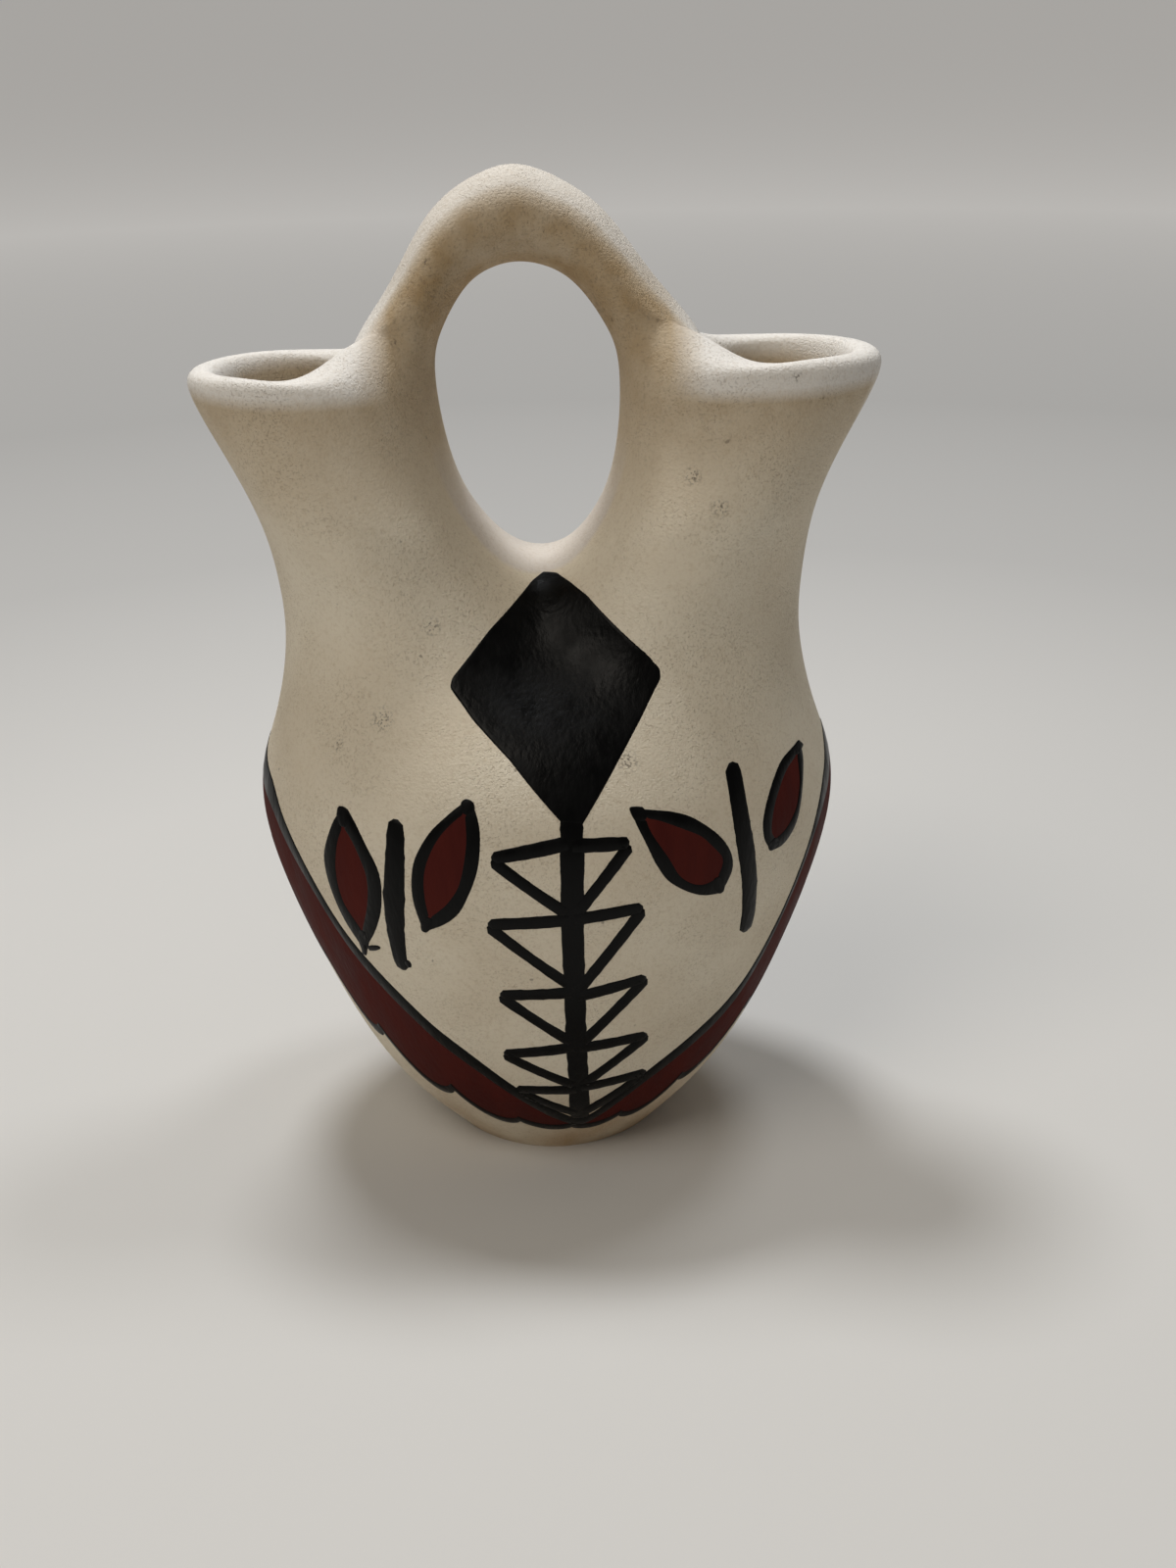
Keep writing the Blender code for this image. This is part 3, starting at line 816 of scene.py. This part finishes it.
# Leaf pairs
# Two leaves on either side of the stem, filled with red paint and outlined in black with two pulls of the
# brush each, with an upright black bar between them. A few dabs are left where the brush was lifted.
LEAF_TIPS = (2.4, 2.4, 0.7, 0.8)
LEAF_TOP_WIDTHS = (2.4, 1.6)
LEAF_FOOT_WIDTHS = (1.6, 2.2, 1.2)
LEAF_EASING = 0.07
LEAF_STEPS = 28
LEAF_ROWS = 12
# A leaf's four edges run from its top to its foot: outer and inner left, inner and outer right.
LEAVES = (
    (
        (
            (-31, 71.1), (-32.8, 69), (-34, 66), (-35.3, 62.1), (-35.1, 58.2), (-34.1, 53.8), (-32.6, 49.5),
            (-29.7, 44.4),
        ),
        ((-31.3, 67.7), (-32.4, 64.6), (-32.9, 60.6), (-32.9, 57.3), (-32.2, 53.7), (-29.5, 49.4)),
        (
            (-31.3, 67.7), (-29.9, 66), (-28.9, 63.7), (-27.9, 60.8), (-27.8, 58.1), (-28.3, 54.3),
            (-29.5, 49.4),
        ),
        (
            (-31, 71.1), (-29.8, 70.7), (-27.7, 66.6), (-25.3, 62), (-25.1, 58.9), (-25.6, 54.1),
            (-27.2, 49.3), (-29.7, 44.4),
        ),
    ),
    (
        (
            (-10.3, 74.9), (-11.8, 74.4), (-16.6, 70.2), (-18.2, 67.8), (-19.8, 64.8), (-20.4, 60.8),
            (-20.3, 57.2), (-18.9, 51.7),
        ),
        (
            (-11.3, 72.7), (-12.7, 71.8), (-15.1, 69.3), (-16.6, 66.7), (-17.7, 63.8), (-18.1, 61.2),
            (-18, 57.7), (-17.6, 55),
        ),
        (
            (-11.3, 72.7), (-11.2, 68.8), (-11.6, 66.1), (-12.1, 63.6), (-12.8, 61), (-14.9, 57.7),
            (-17.6, 55),
        ),
        (
            (-10.3, 74.9), (-9.3, 73.3), (-8.7, 70.1), (-9.1, 65.4), (-10, 62.1), (-12.6, 56.2),
            (-15.1, 53.7), (-18.9, 51.7),
        ),
    ),
    (
        (
            (14.1, 73.2), (20.6, 71.9), (23.7, 70.6), (26, 68.7), (28.3, 66.5), (29.9, 63.9), (30.6, 61.5),
            (30.5, 59.3), (28.6, 55.8),
        ),
        (
            (16.8, 71.2), (18.6, 70.7), (20.6, 69.6), (25.2, 67), (26.8, 65), (28.8, 62.5), (28.4, 60.6),
            (27.7, 59.4),
        ),
        (
            (16.8, 71.2), (17.2, 69.6), (18.5, 67.4), (20.4, 64.4), (21.9, 61), (23.9, 59.1), (26, 58.5),
            (27.7, 59.4),
        ),
        (
            (14.1, 73.2), (14.7, 71.4), (16.7, 67.1), (17.7, 64.4), (19.7, 60.6), (22.4, 58.2), (25.5, 56.2),
            (28.6, 55.8),
        ),
    ),
    (
        (
            (41.8, 75.5), (40.1, 75), (38.5, 74.4), (37, 71.9), (35.8, 68.9), (35.2, 66), (35.5, 63),
            (36.8, 60.4),
        ),
        ((41.4, 73.6), (39.7, 72.6), (38.6, 70.9), (37.5, 68.3), (37, 65.7), (36.9, 63.6), (37.6, 62.6)),
        ((41.4, 73.6), (41.8, 69.5), (41.2, 66), (39.8, 63.8), (38.6, 62.8), (37.6, 62.6)),
        (
            (41.8, 75.5), (42.7, 73.5), (42.5, 69.8), (42.1, 66.2), (41.3, 62.9), (40.1, 61.2), (38.7, 60.1),
            (36.8, 60.4),
        ),
    ),
)
LEFT_BAR = ((-22.2, 71.3), (-22.6, 65.5), (-23.4, 56.6), (-23.6, 50.8), (-23.4, 45), (-22.8, 42.4))
LEFT_BAR_WIDTHS = (3.0, 3.9, 2.4)
RIGHT_BAR = ((30, 77), (30.7, 74.5), (31.8, 67.5), (32.7, 61.8), (33.3, 56.1), (33.3, 50), (32.7, 45.4))
RIGHT_BAR_WIDTHS = (2.6, 3.0, 2.4)
BAR_STEPS = 28
DABS = (((-29.5, 46.2), (-29.8, 43.4)), ((-29.0, 45.3), (-26.6, 46.6)), ((-22.3, 45.2), (-21.8, 43.6)))
DAB_WIDTHS = (1.1, 1.2, 0.8)


def midway(first, second):
    """The edge half way between two drawn edges."""
    return lambda share: (first(share) + second(share)) / 2


leaf_fill = bmesh.new()
leaf_lines = bmesh.new()
for place in (front_place, back_place):
    for edges, tip in zip(LEAVES, LEAF_TIPS):
        outer_left, inner_left, inner_right, outer_right = [drawn(edge, LEAF_EASING) for edge in edges]
        fill_left = midway(outer_left, inner_left)
        fill_right = midway(inner_right, outer_right)
        film(leaf_fill, fill_left, fill_right, LEAF_STEPS, RED_LIFT, place, LEAF_ROWS)
        film(leaf_lines, outer_left, inner_left, LEAF_STEPS, BLACK_LIFT, place)
        film(leaf_lines, inner_right, outer_right, LEAF_STEPS, BLACK_LIFT, place)
        stroke(leaf_lines, (outer_left(0), inner_left(0)), (tip, *LEAF_TOP_WIDTHS), place)
        stroke(leaf_lines, (inner_left(1), outer_left(1)), LEAF_FOOT_WIDTHS, place)
    stroke(leaf_lines, LEFT_BAR, LEFT_BAR_WIDTHS, place, BAR_STEPS)
    stroke(leaf_lines, RIGHT_BAR, RIGHT_BAR_WIDTHS, place, BAR_STEPS)
for dab in DABS:
    stroke(leaf_lines, dab, DAB_WIDTHS, front_place)
paint_piece("leaf_fill", leaf_fill, red_paint)
paint_piece("leaf_outlines", leaf_lines, black_paint)

# Studio floor
# A plain pale sheet laid flat under the vase, large enough to fill the view behind it: matt, painted a
# little greyer away from the vase as painted shade, and paler again far off, where it glows to the camera
# only as painted light.
FLOOR_HALF_SIZE = 12.0
FLOOR_COLOUR = (0.68, 0.66, 0.625, 1.0)
SHADED_FAR_FLOOR_COLOUR = (0.55, 0.535, 0.51, 1.0)
GREYER_REACHES = (0.16, 0.36)
FLOOR_GLOW_REACHES = (0.6, 1.3)
PAINTED_FLOOR_GLOW = 0.30
FLOOR_ROUGHNESS = 0.9
ROOM_COLOUR = (1.0, 0.97, 0.93, 1.0)
floor_bm = bmesh.new()
bmesh.ops.create_grid(floor_bm, x_segments=1, y_segments=1, size=FLOOR_HALF_SIZE)
floor_mesh = bpy.data.meshes.new("studio_floor")
floor_bm.to_mesh(floor_mesh)
floor_bm.free()
floor_paper = bpy.data.materials.new("floor_paper")
floor_paper.use_nodes = True
tree = floor_paper.node_tree
floor_shader = tree.nodes["Principled BSDF"]
floor_shader.inputs["Roughness"].default_value = FLOOR_ROUGHNESS
floor_shader.inputs["Emission Color"].default_value = ROOM_COLOUR
away = apart(tree, add(tree, "ShaderNodeTexCoord", {}).outputs["Object"], (0, 0, 0))
# Painted shade: the floor is painted greyer away from the vase.
floor_colour = tint(tree, zone(tree, away, *GREYER_REACHES), FLOOR_COLOUR, SHADED_FAR_FLOOR_COLOUR)
tree.links.new(floor_colour, floor_shader.inputs["Base Color"])
seen = add(tree, "ShaderNodeLightPath", {}).outputs["Is Camera Ray"]
# Painted light: far off the floor glows, seen by the camera only.
floor_glow = times(tree, zone(tree, away, *FLOOR_GLOW_REACHES, most=PAINTED_FLOOR_GLOW), seen)
tree.links.new(floor_glow, floor_shader.inputs["Emission Strength"])
floor_mesh.materials.append(floor_paper)
floor = bpy.data.objects.new("studio_floor", floor_mesh)
bpy.context.scene.collection.objects.link(floor)

# Soft studio light
# Two round cool lamps on the ceiling behind the vase, a larger warm one high at the front left, all
# turned to its middle, and a dim room that looks paler than the light it gives.
MIDDLE = (0.0, 0.0, 0.08)
COOL = (0.93, 0.96, 1.0)
WARM = (1.0, 0.93, 0.83)
CEILING_LAMP_SIZE = 0.26
FRONT_LAMP_SIZE = 0.70
ROOM_LIGHT = 0.15
ROOM_PALENESS = 0.40


def soft_lamp(name, place, size, power, colour):
    """A round lamp of a size, turned to the middle of the vase."""
    lamp = bpy.data.lights.new(name, "AREA")
    lamp.shape = "DISK"
    lamp.size = size
    lamp.energy = power
    lamp.color = colour
    holder = bpy.data.objects.new(name, lamp)
    holder.location = place
    holder.rotation_euler = (Vector(MIDDLE) - Vector(place)).to_track_quat("-Z", "Y").to_euler()
    bpy.context.scene.collection.objects.link(holder)


soft_lamp("left_ceiling_lamp", (-0.16, 0.29, 1.15), CEILING_LAMP_SIZE, power=6.8, colour=COOL)
soft_lamp("right_ceiling_lamp", (0.32, 0.29, 1.15), CEILING_LAMP_SIZE, power=2.5, colour=COOL)
soft_lamp("front_lamp", (-0.45, -0.58, 1.00), FRONT_LAMP_SIZE, power=4.0, colour=WARM)
room = bpy.data.worlds.new("room")
room.use_nodes = True
tree = room.node_tree
tree.nodes["Background"].inputs["Color"].default_value = ROOM_COLOUR
seen = add(tree, "ShaderNodeLightPath", {}).outputs["Is Camera Ray"]
paleness = {0: seen, 1: ROOM_PALENESS, 2: ROOM_LIGHT}
level = add(tree, "ShaderNodeMath", paleness, operation="MULTIPLY_ADD").outputs[0]
tree.links.new(level, tree.nodes["Background"].inputs["Strength"])
bpy.context.scene.world = room
bpy.context.scene.view_settings.view_transform = "Standard"

# Camera
# Stands a little to the right of the vase's front, above its handle, and looks down on it, very slightly
# rolled, as in the photograph. Its sensor and lens are in millimetres.
CAMERA_DISTANCE = 0.313
CAMERA_HEIGHT = 0.1954
CAMERA_SIDE = math.radians(2.5)
CAMERA_TURN = math.radians(1.29)
CAMERA_PITCH = math.radians(23.2)
CAMERA_ROLL = math.radians(1.4)
SENSOR_HEIGHT = 32
FOCAL_LENGTH = 40
NEAREST_SEEN = 0.01
heading = CAMERA_TURN - CAMERA_SIDE
forward = Vector((
    math.sin(heading) * math.cos(CAMERA_PITCH),
    math.cos(heading) * math.cos(CAMERA_PITCH),
    -math.sin(CAMERA_PITCH),
))
level_right = Vector((math.cos(heading), -math.sin(heading), 0))
level_up = level_right.cross(forward)
right = math.cos(CAMERA_ROLL) * level_right - math.sin(CAMERA_ROLL) * level_up
up = math.sin(CAMERA_ROLL) * level_right + math.cos(CAMERA_ROLL) * level_up
lens = bpy.data.cameras.new("camera")
lens.sensor_fit = "VERTICAL"
lens.sensor_height = SENSOR_HEIGHT
lens.lens = FOCAL_LENGTH
lens.clip_start = NEAREST_SEEN
camera = bpy.data.objects.new("camera", lens)
stand = Vector((
    CAMERA_DISTANCE * math.sin(CAMERA_SIDE),
    -CAMERA_DISTANCE * math.cos(CAMERA_SIDE),
    CAMERA_HEIGHT,
))
camera.matrix_world = Matrix.Translation(stand) @ Matrix((right, up, -forward)).transposed().to_4x4()
bpy.context.scene.collection.objects.link(camera)
bpy.context.scene.camera = camera
